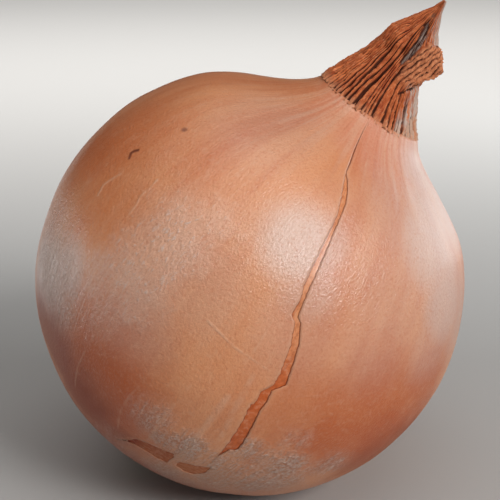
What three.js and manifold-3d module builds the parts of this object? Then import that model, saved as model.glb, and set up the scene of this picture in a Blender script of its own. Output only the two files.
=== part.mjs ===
// A yellow onion, leaning on its side: a bulb in a split papery skin, with a withered neck and dry roots.
// Millimetres, +Z up. The origin is the middle of the flat spot that the onion rests on.
// The onion is drawn upright about its own axis, from the roots (-Z) to the neck (+Z), with the
// middle of the bulb at the origin, and the whole group is then leaned over and lifted onto its spot.
// Places on the skin are given as on a globe: latitude 90 is the neck, longitude 0 faces -Y,
// and longitude grows towards +X.
import * as THREE from "three";
import { mergeVertices } from "three/addons/utils/BufferGeometryUtils.js";
import Module from "manifold-3d";

const wasm = await Module();
wasm.setup();

const { degToRad, radToDeg, clamp } = THREE.MathUtils;

// Bulb
const BULB_RADIUS = 38.2; // from the axis to the skin, at the equator
const BULB_DEPTH = 37.85; // from the equator to the root end, and the arc's height above it
const SHOULDER_LATITUDE = 42; // where the round bulb starts to draw in to the neck
const SHOULDER_PULL = 6.5; // how far the round bulb's slope carries on into the shoulder
const NECK_PULL = 5; // how far the neck's slope carries down into the shoulder
const NECK_SLOPE = 28; // degrees between the neck's side and the axis, at the hem
const HEM_RADIUS = 10; // of the ring where the dry neck meets the skin
const HEM_HEIGHT = 37.7; // of that ring above the equator
const LEAN = 33; // degrees that the axis leans from upright, towards +X
const REST_SPOT_RADIUS = 6; // of the flat spot

// Papery skin
const SKIN_WALL = 0.35;
const CLEARANCE = 0.3; // between pieces that touch

// Split in the skin: longitude and latitude of its middle and its width in millimetres, from the neck down
const SPLIT = [
  { longitude: -4.3, latitude: 62, width: 0.3 },
  { longitude: -3.7, latitude: 53, width: 0.7 },
  { longitude: -0.6, latitude: 41, width: 0.8 },
  { longitude: 0.8, latitude: 26, width: 0.9 },
  { longitude: 1.6, latitude: 16, width: 1.0 },
  { longitude: 4.6, latitude: 13.5, width: 1.1 },
  { longitude: 6.9, latitude: 6, width: 1.6 },
  { longitude: 7.9, latitude: 0, width: 1.8 },
  { longitude: 5.8, latitude: -4, width: 2.0 },
  { longitude: 5.9, latitude: -9, width: 2.0 },
  { longitude: 9.2, latitude: -23, width: 1.9 },
];

// Tears in the skin beside the roots: the longitude and latitude of their corners
const TEARS = [
  [
    [-18.5, -47.9], [-14.2, -42.3], [-12.3, -39.3], [-8.3, -37.3], [-0.7, -35], [0.2, -36.6],
    [0.3, -41.4], [-3.3, -41.8], [-7.1, -41], [-9.9, -40.8], [-12.4, -41], [-14.4, -42.9],
  ],
  [[2.9, -40.5], [2.6, -37.4], [7.2, -34.9], [10.3, -32.6], [11.2, -36.2], [9.6, -40.4], [6.9, -41.4]],
];

// Dry neck. Each section gives a height as a share of the neck's length, and its reach to the left, to
// the right and to the front and back as shares of the hem's radius.
const NECK_LENGTH = 22;
const NECK_SECTIONS = [
  { height: 0, left: 1, right: 1, depth: 1 },
  { height: 0.1, left: 0.92, right: 0.82, depth: 0.88 },
  { height: 0.2, left: 0.84, right: 0.67, depth: 0.76 },
  { height: 0.35, left: 0.67, right: 0.47, depth: 0.58 },
  { height: 0.46, left: 0.58, right: 0.52, depth: 0.52 },
  { height: 0.54, left: 0.54, right: 0.61, depth: 0.49 },
  { height: 0.63, left: 0.5, right: 0.45, depth: 0.44 },
  { height: 0.75, left: 0.32, right: 0.24, depth: 0.3 },
  { height: 0.9, left: 0.08, right: 0.09, depth: 0.13 },
  { height: 1, left: 0.02, right: 0.05, depth: 0.05 },
];
const NECK_RIDGES = 24;
const RIDGE_HEIGHT = 0.5;
const CREASE_DEPTH = 1.2; // of the fold between the two bundles of leaves, on the front
const CREASE_HEIGHT = 0.52; // of the fold's middle, as a share of the neck's length
const CREASE_REACH = 0.16; // half the fold's height, as a share of the neck's length
const CREASE_SPREAD = 16; // degrees either side of the fold
const STUB_RADIUS = 5; // of the bulb's own neck, which the dry leaves wrap
const STUB_HEIGHT = 4; // of the stub above the hem

// Root end
const ROOT_PLATE_RADIUS = 5;
const ROOT_PLATE_THICKNESS = 1.8;
const ROOT_PLATE_DOME = 0.5; // how far the plate's middle bulges
const ROOT_RINGS = [
  { count: 1, ring: 0, splay: 0 },
  { count: 6, ring: 1.9, splay: 14 },
  { count: 12, ring: 3.8, splay: 32 },
];
const ROOT_LENGTH = 2.2; // that a root stands out of the plate
const ROOT_SINK = 0.8; // that a root reaches into the plate
const ROOT_RADIUS = 0.5;
const ROOT_TIP_RADIUS = 0.22;

// Facets
const SKIN_COLUMNS = 48;
const BULB_COLUMNS = 36;
const NECK_COLUMNS = 2 * NECK_RIDGES;
const NECK_RINGS = 16;
const ROOT_SIDES = 5;
const ARC_STEPS = 17;
const SHOULDER_STEPS = 6;
const REACH = 20; // how far a cutter stands clear of what it cuts

const UP = new THREE.Vector3(0, 0, 1);
const FRONT = -Math.PI / 2; // the angle about the axis that faces -Y

// Materials
const skinPaper = new THREE.MeshStandardMaterial({ color: 0xd08a62, roughness: 0.45, metalness: 0 });
const innerSkin = new THREE.MeshStandardMaterial({ color: 0xb9663c, roughness: 0.35, metalness: 0 });
const dryLeaf = new THREE.MeshStandardMaterial({ color: 0x9c5330, roughness: 0.85, metalness: 0 });
const dryRoot = new THREE.MeshStandardMaterial({ color: 0xb59a72, roughness: 0.9, metalness: 0 });

// Solids and geometries

function solidFrom(geometry) {
  const bare = geometry.clone();
  bare.deleteAttribute("normal");
  bare.deleteAttribute("uv");
  const merged = mergeVertices(bare, 1e-4);
  const corners = merged.index.array;
  const triangles = [];
  for (let i = 0; i < corners.length; i += 3) {
    const [a, b, c] = corners.slice(i, i + 3);
    if (a !== b && b !== c && c !== a) triangles.push(a, b, c);
  }
  return new wasm.Manifold(
    new wasm.Mesh({
      numProp: 3,
      vertProperties: merged.attributes.position.array,
      triVerts: new Uint32Array(triangles),
    }),
  );
}

function meshFrom(name, solid, material) {
  const { vertProperties, triVerts } = solid.getMesh();
  const geometry = new THREE.BufferGeometry();
  geometry.setAttribute("position", new THREE.BufferAttribute(vertProperties, 3));
  geometry.setIndex(new THREE.BufferAttribute(triVerts, 1));
  geometry.computeVertexNormals();
  const mesh = new THREE.Mesh(geometry, material);
  mesh.name = name;
  return mesh;
}

// A profile of (distance from the axis, height) points, turned about the axis.
function turned(profile, columns) {
  return new THREE.LatheGeometry(profile, columns).rotateX(Math.PI / 2);
}

// A cylinder about the axis, between two heights.
function rod(radius, bottom, top, columns = BULB_COLUMNS) {
  const geometry = new THREE.CylinderGeometry(radius, radius, top - bottom, columns);
  return geometry.rotateX(Math.PI / 2).translate(0, 0, (bottom + top) / 2);
}

// Bulb's outline

// The skin's outside from the root end to the hem, drawn in by an inset on every side.
function bulbOutline(inset) {
  const end = degToRad(SHOULDER_LATITUDE);
  const arc = new THREE.Path().absellipse(0, 0, BULB_RADIUS, BULB_DEPTH, -Math.PI / 2, end, false);
  const leave = arc.getPoint(1);
  const leaving = arc.getTangent(1).multiplyScalar(SHOULDER_PULL);
  const slope = degToRad(NECK_SLOPE);
  const arrive = new THREE.Vector2(HEM_RADIUS, HEM_HEIGHT);
  const arriving = new THREE.Vector2(-Math.sin(slope), Math.cos(slope)).multiplyScalar(NECK_PULL);
  const shoulder = new THREE.CubicBezierCurve(
    leave,
    leave.clone().add(leaving),
    arrive.clone().sub(arriving),
    arrive,
  );
  const inwards = (curve, share) => {
    const along = curve.getTangent(share);
    const point = curve.getPoint(share).add(new THREE.Vector2(-along.y, along.x).multiplyScalar(inset));
    return point.setX(Math.max(point.x, 0));
  };
  const points = [];
  for (let i = 0; i <= ARC_STEPS; i += 1) points.push(inwards(arc, i / ARC_STEPS));
  for (let i = 1; i <= SHOULDER_STEPS; i += 1) points.push(inwards(shoulder, i / SHOULDER_STEPS));
  points[0].x = 0;
  return points;
}

// The solid inside that outline, with its top at a height above the equator.
function bulbSolid(inset, top, columns) {
  const side = bulbOutline(inset);
  const rim = side.at(-1).x;
  const profile = [...side, new THREE.Vector2(rim, top), new THREE.Vector2(0, top)];
  return solidFrom(turned(profile, columns));
}

// Leaning and resting

// How far below the bulb's middle the leaned skin would reach, less the depth of the flat spot.
function restHeight() {
  const lean = degToRad(LEAN);
  const drop = (point) => point.x * Math.sin(lean) - point.y * Math.cos(lean);
  const lowest = Math.max(...bulbOutline(0).map(drop));
  const sagitta = BULB_RADIUS - Math.sqrt(BULB_RADIUS ** 2 - REST_SPOT_RADIUS ** 2);
  return lowest - sagitta;
}

const onion = new THREE.Group();
onion.rotation.y = degToRad(LEAN);
onion.position.z = restHeight();
onion.updateMatrixWorld(true);

// Cuts off what would lie under a level height, in the leaned frame.
function flattened(solid, height) {
  const side = 2 * (BULB_RADIUS + REACH);
  const below = new THREE.BoxGeometry(side, side, REACH).translate(0, 0, height - REACH / 2);
  below.applyMatrix4(onion.matrixWorld.clone().invert());
  return solid.subtract(solidFrom(below));
}

// Papery skin

// A flat outline of (longitude, latitude) points in degrees, stood through the skin and bent round the bulb.
function skinCutter(outline) {
  const depth = 2 * REACH;
  const cutter = new THREE.ExtrudeGeometry(new THREE.Shape(outline), { depth, steps: 1, bevelEnabled: false });
  const places = cutter.getAttribute("position");
  for (let i = 0; i < places.count; i += 1) {
    const longitude = degToRad(places.getX(i)) + FRONT;
    const latitude = degToRad(places.getY(i));
    const distance = BULB_RADIUS + places.getZ(i) - REACH;
    const ring = distance * Math.cos(latitude);
    places.setXYZ(i, ring * Math.cos(longitude), ring * Math.sin(longitude), distance * Math.sin(latitude));
  }
  return solidFrom(cutter);
}

function splitOutline() {
  const edge = (side) =>
    SPLIT.map(({ longitude, latitude, width }) => {
      const ring = BULB_RADIUS * Math.cos(degToRad(latitude));
      return new THREE.Vector2(longitude + (side * radToDeg(width / 2)) / ring, latitude);
    });
  return [...edge(-1), ...edge(1).reverse()];
}

function outerSkin() {
  const top = HEM_HEIGHT - CLEARANCE;
  const outside = flattened(bulbSolid(0, HEM_HEIGHT + REACH, SKIN_COLUMNS), 0);
  const inside = flattened(bulbSolid(SKIN_WALL, HEM_HEIGHT + REACH, SKIN_COLUMNS), SKIN_WALL);
  const rootOpening = ROOT_PLATE_RADIUS + CLEARANCE;
  let solid = outside
    .subtract(inside)
    .subtract(solidFrom(rod(BULB_RADIUS, top, HEM_HEIGHT + 2 * REACH)))
    .subtract(solidFrom(rod(rootOpening, -BULB_DEPTH - REACH, 0)))
    .subtract(skinCutter(splitOutline()));
  for (const corners of TEARS) {
    const outline = corners.map(([longitude, latitude]) => new THREE.Vector2(longitude, latitude));
    solid = solid.subtract(skinCutter(outline));
  }
  return meshFrom("outer_skin", solid, skinPaper);
}

// Bulb, with the stub of its own neck and a seat for the root plate

function bulb() {
  const inset = SKIN_WALL + CLEARANCE;
  const body = flattened(bulbSolid(inset, HEM_HEIGHT - CLEARANCE, BULB_COLUMNS), inset);
  const stub = rod(STUB_RADIUS, 0, HEM_HEIGHT + STUB_HEIGHT);
  const seatTop = -BULB_DEPTH + ROOT_PLATE_THICKNESS + CLEARANCE;
  const seat = rod(ROOT_PLATE_RADIUS + CLEARANCE, -BULB_DEPTH - REACH, seatTop);
  return meshFrom("bulb", body.add(solidFrom(stub)).subtract(solidFrom(seat)), innerSkin);
}

// Dry neck

// A section's reaches at any height, in millimetres.
function neckSection(share) {
  const next = Math.max(1, NECK_SECTIONS.findIndex(({ height }) => height >= share));
  const [low, high] = [NECK_SECTIONS[next - 1], NECK_SECTIONS[next]];
  const along = clamp((share - low.height) / (high.height - low.height), 0, 1);
  const reach = (side) => HEM_RADIUS * THREE.MathUtils.lerp(low[side], high[side], along);
  return { left: reach("left"), right: reach("right"), depth: reach("depth") };
}

// How deep the front fold is at a height and an angle.
function crease(share, angle) {
  const up = (share - CREASE_HEIGHT) / CREASE_REACH;
  const round = (angle - FRONT) / degToRad(CREASE_SPREAD);
  return CREASE_DEPTH * Math.exp(-(up ** 2) - round ** 2);
}

function neckPoint(share, angle, column) {
  const { left, right, depth } = neckSection(share);
  const across = Math.cos(angle) > 0 ? right : left;
  const smooth = new THREE.Vector2(across * Math.cos(angle), depth * Math.sin(angle));
  const size = smooth.length();
  const ridge = (column % 2) * RIDGE_HEIGHT * Math.sin(Math.PI * Math.sqrt(share));
  const groove = Math.min(size / 2, ridge + crease(share, angle));
  return smooth.multiplyScalar((size - groove) / size);
}

function dryNeck() {
  const tube = new THREE.CylinderGeometry(1, 1, 1, NECK_COLUMNS, NECK_RINGS).rotateX(Math.PI / 2);
  const places = tube.getAttribute("position");
  for (let i = 0; i < places.count; i += 1) {
    const share = clamp(places.getZ(i) + 0.5, 0, 1);
    const angle = Math.atan2(places.getY(i), places.getX(i));
    const column = Math.round((angle / (2 * Math.PI)) * NECK_COLUMNS);
    const onAxis = Math.hypot(places.getX(i), places.getY(i)) < 0.5;
    const point = onAxis ? new THREE.Vector2(0, 0) : neckPoint(share, angle, Math.abs(column));
    places.setXYZ(i, point.x, point.y, HEM_HEIGHT + share * NECK_LENGTH);
  }
  const socketTop = HEM_HEIGHT + STUB_HEIGHT + CLEARANCE;
  const socket = rod(STUB_RADIUS + CLEARANCE, HEM_HEIGHT - REACH, socketTop);
  return meshFrom("dry_neck", solidFrom(tube).subtract(solidFrom(socket)), dryLeaf);
}

// Root plate with its dry roots

function rootPlate() {
  const low = -BULB_DEPTH;
  const rim = new THREE.Vector2(ROOT_PLATE_RADIUS, low);
  const profile = [
    new THREE.Vector2(0, low - ROOT_PLATE_DOME),
    new THREE.Vector2(ROOT_PLATE_RADIUS / 2, low - ROOT_PLATE_DOME * 0.8),
    rim,
    rim.clone().setY(low + ROOT_PLATE_THICKNESS),
    new THREE.Vector2(0, low + ROOT_PLATE_THICKNESS),
  ];
  let solid = solidFrom(turned(profile, BULB_COLUMNS));
  for (const { count, ring, splay } of ROOT_RINGS) {
    for (let i = 0; i < count; i += 1) {
      const whole = ROOT_LENGTH + ROOT_SINK;
      const root = new THREE.CylinderGeometry(ROOT_RADIUS, ROOT_TIP_RADIUS, whole, ROOT_SIDES)
        .rotateX(Math.PI / 2)
        .translate(0, 0, ROOT_SINK - whole / 2)
        .rotateY(-degToRad(splay))
        .translate(ring, 0, low)
        .applyMatrix4(new THREE.Matrix4().makeRotationAxis(UP, (2 * Math.PI * i) / count));
      solid = solid.add(solidFrom(root));
    }
  }
  return meshFrom("root_plate", solid, dryRoot);
}

onion.add(bulb(), outerSkin(), dryNeck(), rootPlate());

export default onion;
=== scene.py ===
import math
import random

import bmesh
import bpy
import numpy as np
from mathutils import Matrix, Vector, noise


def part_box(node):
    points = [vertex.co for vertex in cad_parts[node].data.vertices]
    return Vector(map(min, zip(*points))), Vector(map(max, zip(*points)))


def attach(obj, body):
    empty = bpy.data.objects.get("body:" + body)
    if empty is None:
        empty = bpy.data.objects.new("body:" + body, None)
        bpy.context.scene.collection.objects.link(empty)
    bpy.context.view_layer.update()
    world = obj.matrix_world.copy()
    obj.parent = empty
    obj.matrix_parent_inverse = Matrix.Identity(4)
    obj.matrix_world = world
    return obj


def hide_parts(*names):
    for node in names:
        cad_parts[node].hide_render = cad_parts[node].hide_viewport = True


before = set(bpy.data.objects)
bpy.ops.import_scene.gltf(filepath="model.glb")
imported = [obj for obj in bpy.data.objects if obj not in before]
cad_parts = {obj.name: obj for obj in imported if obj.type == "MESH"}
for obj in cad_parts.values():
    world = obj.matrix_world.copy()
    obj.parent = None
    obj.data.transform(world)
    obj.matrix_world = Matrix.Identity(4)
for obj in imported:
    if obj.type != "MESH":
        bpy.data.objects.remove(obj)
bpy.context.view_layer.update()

bl_info = {
    "name": "Leaning Onion",
    "version": (1, 0, 0),
    "blender": (4, 5, 0),
    "location": "3D View > Sidebar > Onion",
    "description": "Builds a yellow onion in its papery skin, with its dry neck and roots",
    "category": "Add Mesh",
}

MM = 0.001
BOX_ALLOWANCE = 2 * MM  # How far a piece may reach past the box of the CAD node it stands for

# The onion is worked out about its own axis, roots down and neck up, with the middle of the bulb
# at zero. Places on the skin are (longitude, latitude) in degrees: latitude 90 is the neck,
# longitude 0 faces the front and grows to the right.

# The split's two edges from the neck down: (latitude, longitude)
SPLIT_LEFT = [
    (74, -5.5), (68, -5.6), (63, -5.3), (58, -4.7), (54, -4.5), (48, -2.9), (44, -1.8), (41, -1.1),
    (31, -0.7), (22.5, 0), (19, 1), (15.4, 1), (14.4, 2.7), (9.5, 4.7), (2, 6.4), (-0.9, 6.7),
    (-3.6, 5.2), (-6, 5.5), (-7.2, 5.5), (-7.6, 5), (-12.5, 6.1), (-19.7, 7.4), (-22.2, 7.8), (-27, 8.4),
]
SPLIT_RIGHT = [
    (74, -5.5), (68, -5), (63, -4.6), (58, -4.1), (54, -4.3), (52, -2.6), (49, -1), (45, 0.1),
    (35, 0.6), (23, 1.6), (17, 2.5), (15.6, 2.9), (15, 4), (10.4, 6.5), (3.3, 8.5), (0.6, 9.3),
    (-2.2, 7.3), (-5.8, 8), (-8, 7.9), (-14, 9.4), (-19.5, 10.7), (-22, 10.9), (-22.8, 9.4), (-27, 8.5),
]

# The split is closed above and below these places, given as (latitude, longitude)
SPLIT_TOP, SPLIT_END = (74, -5.5), (-27, 8.45)

# The skin's relief fades out between these latitudes, so that the neck's hem lies flat on it
UNDER_HEM = (70, 74.6)

# Tears beside the roots: corners as (longitude, latitude)
TEARS = [
    [
        (-18.5, -47.9), (-14.2, -42.3), (-12.3, -39.3), (-8.3, -37.3), (-0.7, -35), (0.2, -36.6),
        (0.3, -42), (-3.3, -42.6), (-7.1, -42.4), (-9.9, -42.6), (-12.4, -43.2), (-14.4, -44.2),
    ],
    [(2.9, -40.5), (2.6, -37.4), (7.2, -34.9), (10.3, -32.6), (11.2, -36.2), (9.6, -40.4), (6.9, -41.4)],
]

# The neck from the hem up: height and reach to the left, the right and the front, in millimetres
NECK_SECTIONS = [
    (0, 10, 10, 10), (2.2, 9.2, 8.2, 8.8), (4.4, 8.4, 6.7, 7.6), (7.7, 6.7, 4.7, 5.8),
    (10.1, 5.8, 5.2, 5.2), (11.9, 5.4, 6.1, 4.9), (13.9, 5, 4.5, 4.4), (16.5, 3.2, 2.4, 3),
    (19.8, 0.95, 0.9, 1.3), (21.7, 0.15, 0.45, 0.35),
]
# Lines on the neck's front, as (right, height above the hem) in millimetres
FOLD = [(-0.9, 8.4), (-0.7, 9.6), (-0.8, 11), (-0.4, 12.8), (-0.2, 14.4), (-0.5, 17.7), (-0.3, 21)]
LOBE = [
    (-0.6, 6.6), (1.5, 5.8), (2.4, 6.8), (3.3, 7.6), (3.7, 8.9), (4.6, 10.6), (7, 11.5), (7, 13),
    (4.6, 14), (2.7, 14.6), (1.3, 14.6), (0.8, 13.6), (0.1, 11.4), (-0.5, 9.3),
]
TORN_STEP = [(5.4, -2), (5.6, 2.3), (5.9, 3.1), (6.8, 3.8), (12, 4.4), (12, -2)]
# Hollows and knobs between the leaves: right, height, reach and depth or height in millimetres
HOLLOWS = [(-2.6, 14.4, 0.75, 0.55), (-3.1, 16, 0.5, 0.35), (-1.8, 11.2, 0.5, 0.5), (-1.8, 17, 0.5, 0.5)]
KNOBS = [(-3.2, 11.6, 1, 0.5), (-3.7, 12.9, 0.7, 0.3), (-4.6, 8, 0.9, 0.25), (-6.6, 4, 1, 0.2)]


# ---- Sizes and colours ----


def number(name, description, default, **options):
    return bpy.props.FloatProperty(name=name, description=description, default=default, **options)


def length(name, description, default):
    return number(name, description, default, unit="LENGTH", subtype="DISTANCE", precision=5)


def angle(name, description, default):
    return number(name, description, math.radians(default), unit="ROTATION", subtype="ANGLE")


def whole(name, description, default):
    return bpy.props.IntProperty(name=name, description=description, default=default, min=1)


def linear(code):
    """A hexadecimal colour as linear red, green and blue."""
    parts = [int(code[i : i + 2], 16) / 255 for i in (1, 3, 5)]
    return tuple(c / 12.92 if c <= 0.04045 else ((c + 0.055) / 1.055) ** 2.4 for c in parts)


def colour(name, description, code):
    return bpy.props.FloatVectorProperty(
        name=name, description=description, default=linear(code), subtype="COLOR", min=0, max=1
    )


class OnionSizes(bpy.types.PropertyGroup):
    bulb_radius: length("Bulb radius", "From the axis to the skin at its widest", 38.2 * MM)
    bulb_depth: length("Bulb depth", "From the widest ring to the root end", 37.85 * MM)
    shoulder: angle("Shoulder latitude", "Where the round bulb starts to draw in to the neck", 42)
    hem_radius: length("Hem radius", "Radius of the ring where the dry neck meets the skin", 10 * MM)
    hem_height: length("Hem height", "Height of that ring above the widest ring", 37.7 * MM)
    neck_slope: angle("Neck slope", "Between the neck's side and the axis, at the hem", 28)
    lean: angle("Lean", "How far the axis leans from upright", 33)
    rest_spot: length("Rest spot radius", "Radius of the flat spot that the onion rests on", 6 * MM)
    skin_wall: length("Skin thickness", "Thickness of the papery skin", 0.09 * MM)
    skin_gap: length("Skin gap", "Between the papery skin and the layer below it", 0.04 * MM)
    edge_lift: length("Edge lift", "How far the split's edges curl off the bulb", 0.06 * MM)
    neck_ridges: whole("Neck ridges", "Number of ridges around the dry neck", 60)
    ridge_depth: length("Ridge depth", "Depth of the grooves between the neck's ridges", 0.65 * MM)
    lobe_height: length("Lobe height", "How far the folded lobe stands off the neck", 0.9 * MM)
    root_radius: length("Root plate radius", "Radius of the woody plate under the bulb", 5 * MM)
    root_length: length("Root length", "Length of the dry roots", 2.2 * MM)
    root_count: whole("Roots", "Number of dry roots", 90)


class OnionColours(bpy.types.PropertyGroup):
    skin: colour("Skin", "Main colour of the papery skin", "#DE9465")
    # Deep skin: the skin's own deeper streaks and blotches, and painted shade on the left side
    skin_deep: colour("Deep skin", "Where the skin is thicker and browner", "#BE5719")
    skin_pale: colour("Pale skin", "Pale streaks and scuffs", "#DCA98A")
    # Brown skin: the skin's own brown around the root end, and the painted shade on the lower side
    root_brown_and_shade: colour("Brown skin", "Around the root end", "#8A340B")
    blush: colour("Blush", "Pink flush under the neck", "#D68A6C")
    veil: colour("Veil", "Thin rough film over the skin", "#E3AC8D")
    # Mark: the dark nicks, and also the painted shade in the gap under the split's edges
    mark: colour("Mark", "Small dark nicks in the skin", "#6E2D12")
    # Painted sheen: a pale tone laid where the lights' highlights and haze fall on the skin, and along the
    # veil's wrinkle crests
    sheen: colour("Bloom", "Faint milky bloom on the skin's sides", "#D0C1B8")
    dust: colour("Dust", "Dry pale crinkles where the skin is rubbed", "#E6C8B8")
    inner: colour("Inner skin", "The moist layer below the split", "#CC6229")
    inner_deep: colour("Deep inner skin", "The moist layer near the roots", "#8F2F06")
    inner_vein: colour("Inner vein", "Veins in the moist layer", "#AD4A1E")
    leaf: colour("Dry leaf", "Crests of the dry neck", "#D87843")
    leaf_brown: colour("Brown leaf", "Weathered blotches on the dry neck", "#A0441E")
    leaf_pale: colour("Pale leaf", "Raised fibres of the dry neck", "#E29C70")
    # Dark leaf: the painted shade in the neck's grooves and creases
    leaf_shade: colour("Dark leaf", "Grooves of the dry neck", "#3E1507")
    leaf_dust: colour("Dusty leaf", "Grey bloom on the neck's weathered side", "#CDB9AC")
    leaf_tan: colour("Leaf hem", "Crumbling hem of the dry neck", "#CF9C78")
    root: colour("Root", "Dry roots", "#B79A70")
    # Dark root: painted shade at the roots' bases, and dark mottling on the roots
    root_dark: colour("Dark root", "Between the roots", "#5C452B")
    floor: colour("Floor", "Pale floor", "#B5B3B0")


class OnionStudio(bpy.types.PropertyGroup):
    distance: length("Camera distance", "From the camera to the middle of the bulb", 213 * MM)
    elevation: angle("Camera elevation", "Height of the camera above level", 18.8)
    lens: number("Lens", "Focal length in millimetres on a 36 mm sensor", 85)
    shift_right: length("Aim right", "How far the camera stands left of the bulb's middle", 0.07 * MM)
    shift_up: length("Aim up", "How far the camera stands above the bulb's middle", 5.5 * MM)
    key_power: number("Key light", "Power of the light at the front, in watts", 5.1)
    top_power: number("Top light", "Power of the wide panel overhead, in watts", 5.0)
    back_power: number("Back light", "Power of the panel that lights the floor behind, in watts", 8.0)
    side_power: number("Right light", "Power of the low panel on the right, in watts", 0.29)
    left_power: number("Left light", "Power of the low panel on the left, in watts", 0.15)
    fill: number("Fill", "Brightness of the room", 0.08)
    floor_size: length("Floor size", "Width of the floor", 6)


# ---- Shapes ----


def table(rows, column, at):
    """Reads one column of a short table at any value of its first column."""
    rows = sorted(rows)
    return np.interp(at, [row[0] for row in rows], [row[column] for row in rows])


def smooth(value, low, high):
    """0 below low, 1 above high, and a soft step between."""
    share = np.clip((np.asarray(value, float) - low) / (high - low), 0, 1)
    return share * share * (3 - 2 * share)


def ripple(points, scale, seed=0.0, octaves=1):
    """Smooth noise from -1 to 1 at each point, with its grain given in the points' own unit."""
    shifted = np.asarray(points, float) / scale + seed
    if octaves == 1:
        return np.array([noise.noise(p) for p in shifted])
    return np.array([noise.fractal(p, 0.6, 2.1, octaves) for p in shifted])


class Outline:
    """The skin's outside, as a curve from the root end to just inside the hem."""

    def __init__(self, sizes):
        radius, depth = sizes.bulb_radius, sizes.bulb_depth
        turn = np.linspace(-math.pi / 2, sizes.shoulder, 500)
        arc = np.stack([radius * np.cos(turn), depth * np.sin(turn)], 1)
        leaving = arc[-1] - arc[-2]
        leaving *= 6.5 * MM / np.linalg.norm(leaving)
        hem = np.array([sizes.hem_radius, sizes.hem_height])
        up_neck = np.array([-math.sin(sizes.neck_slope), math.cos(sizes.neck_slope)])
        t = np.linspace(0, 1, 200)[1:, None]
        shoulder = (
            (1 - t) ** 3 * arc[-1]
            + 3 * (1 - t) ** 2 * t * (arc[-1] + leaving)
            + 3 * (1 - t) * t**2 * (hem - 5 * MM * up_neck)
            + t**3 * hem
        )
        tuck = hem + np.array([[-0.1, 0.02], [-0.5, 0.08], [-1.3, 0.15]]) * MM
        line = np.concatenate([arc, shoulder, tuck])
        self.line = line
        self.along = np.concatenate([[0], np.cumsum(np.linalg.norm(np.diff(line, axis=0), axis=1))])
        self.latitude = np.degrees(np.arctan2(line[:, 1], line[:, 0]))
        way = np.gradient(line, axis=0)
        way /= np.linalg.norm(way, axis=1)[:, None]
        self.normal = np.stack([way[:, 1], -way[:, 0]], 1)
        self.sizes = sizes
        lean = sizes.lean
        self.turned = Matrix.Rotation(lean, 3, "Y")
        lowest = math.hypot(radius * math.sin(lean), depth * math.cos(lean))
        sagitta = radius - math.sqrt(radius**2 - sizes.rest_spot**2)
        self.middle = Vector((0, 0, lowest - sagitta))

    def latitudes(self, rows, start):
        """Latitudes from a distance off the root end up to the hem, closer together along the split."""
        density = 1 + 1.6 * smooth(self.latitude, -52, -45) * (1 - smooth(self.latitude, 60, 68))
        steps = np.cumsum(density * np.gradient(self.along))
        first = np.interp(start, self.along, steps)
        return np.interp(np.linspace(first, steps[-1], rows), steps, self.latitude)

    def upright(self, longitude, latitude, lift=0.0):
        """Points about the upright axis at places on the skin, lifted off it."""
        ring = np.interp(latitude, self.latitude, self.line[:, 0])
        height = np.interp(latitude, self.latitude, self.line[:, 1])
        out = np.interp(latitude, self.latitude, self.normal[:, 0])
        rise = np.interp(latitude, self.latitude, self.normal[:, 1])
        ring = ring + out * lift
        turn = np.radians(longitude)
        return np.stack([ring * np.sin(turn), -ring * np.cos(turn), height + rise * lift], -1)

    def leaned(self, points):
        """Upright points as they stand in the frame: leaned over and lifted onto the rest spot."""
        return points @ np.array(self.turned).T + np.array(self.middle)

    def place(self, longitude, latitude, lift=0.0):
        return self.leaned(self.upright(np.float64(longitude), np.float64(latitude), lift))


def rest_flat(points, floor):
    """Nothing reaches below the floor: what would is flattened on it."""
    points[:, 2] = np.maximum(points[:, 2], floor)
    return points


def grid_faces(rows, columns, closed):
    """Quads of a grid of points stored row by row, closed round its columns or open."""
    faces = []
    last = columns if closed else columns - 1
    for i in range(rows - 1):
        for j in range(last):
            k = (j + 1) % columns
            faces.append((i * columns + j, i * columns + k, (i + 1) * columns + k, (i + 1) * columns + j))
    return faces


def capped_grid(rows, columns):
    """Quads of a closed grid, with a fan at each end to the two points stored after the grid's own."""
    faces = grid_faces(rows, columns, closed=True)
    first_end = rows * columns
    last_row = first_end - columns
    for j in range(columns):
        k = (j + 1) % columns
        faces.append((first_end, k, j))
        faces.append((first_end + 1, last_row + j, last_row + k))
    return faces


def around(longitude, rise):
    """A point on a ring one unit wide for each longitude in degrees, with a height beside it."""
    turn = np.radians(longitude)
    return np.stack([np.sin(turn), -np.cos(turn), rise], -1)


def new_piece(name, points, faces, attributes=(), merge=0.0):
    """A smooth mesh object with named values on its points."""
    mesh = bpy.data.meshes.new(name)
    mesh.from_pydata([tuple(p) for p in points], [], faces)
    for label, values in attributes:
        values = np.asarray(values, float)
        kind = "FLOAT_VECTOR" if values.ndim == 2 else "FLOAT"
        layer = mesh.attributes.new(label, kind, "POINT")
        layer.data.foreach_set("vector" if values.ndim == 2 else "value", values.ravel())
    piece = bpy.data.objects.new(name, mesh)
    bpy.context.scene.collection.objects.link(piece)
    form = bmesh.new()
    form.from_mesh(mesh)
    if merge:
        bmesh.ops.remove_doubles(form, verts=form.verts, dist=merge)
        bmesh.ops.dissolve_degenerate(form, edges=form.edges, dist=merge)
    bmesh.ops.recalc_face_normals(form, faces=form.faces)
    form.to_mesh(mesh)
    form.free()
    mesh.shade_smooth()
    return piece


def finish_piece(piece, node, material):
    """Puts a piece in the frame: it stands for its CAD node, rides on the body and takes a finish."""
    if len(piece.data.polygons) == 0:
        raise RuntimeError(piece.name + " came out empty")
    lowest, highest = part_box(node)
    for vertex in piece.data.vertices:
        for at, low, high in zip(vertex.co, lowest, highest):
            if not low - BOX_ALLOWANCE < at < high + BOX_ALLOWANCE:
                raise RuntimeError(piece.name + " reaches out of the box of " + node)
    piece.data.materials.clear()
    piece.data.materials.append(material)
    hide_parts(node)
    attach(piece, "root")
    return piece


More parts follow.
